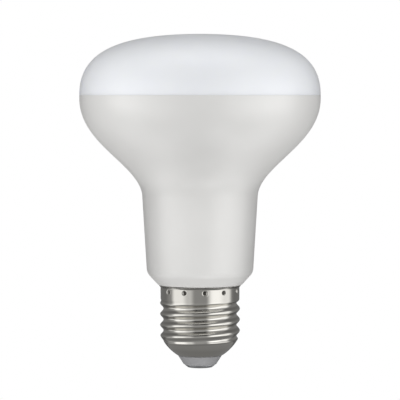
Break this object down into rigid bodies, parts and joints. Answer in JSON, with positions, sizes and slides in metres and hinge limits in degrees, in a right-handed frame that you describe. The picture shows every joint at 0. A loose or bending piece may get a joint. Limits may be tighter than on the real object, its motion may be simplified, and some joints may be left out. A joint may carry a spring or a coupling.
{
  "type": "led spot bulb",
  "caption": "Reflector lamp with a milky diffuser dome on a flared white housing and tapered neck, crimped into a rolled metal screw cap with an insulated tip contact.",
  "frame": {"origin": "centre of the contact's outer face, at the tip of the cap", "axes": "+Z along the lamp's axis from the tip contact to the dome, which is up in the picture; -Y is the side seen in the picture"},
  "size_m": [0.0794, 0.0794, 0.1101],
  "materials": {
    "diffuser": "satin milky white",
    "housing": "satin pearl white",
    "screw_shell": "nickel plate",
    "insulator": "matt grey",
    "centre_contact": "tinned"
  },
  "bodies": {
    "root": {"diffuser": "diffuser", "housing": "housing", "screw_shell": "screw_shell", "insulator": "insulator", "centre_contact": "centre_contact"}
  },
  "joints": []
}
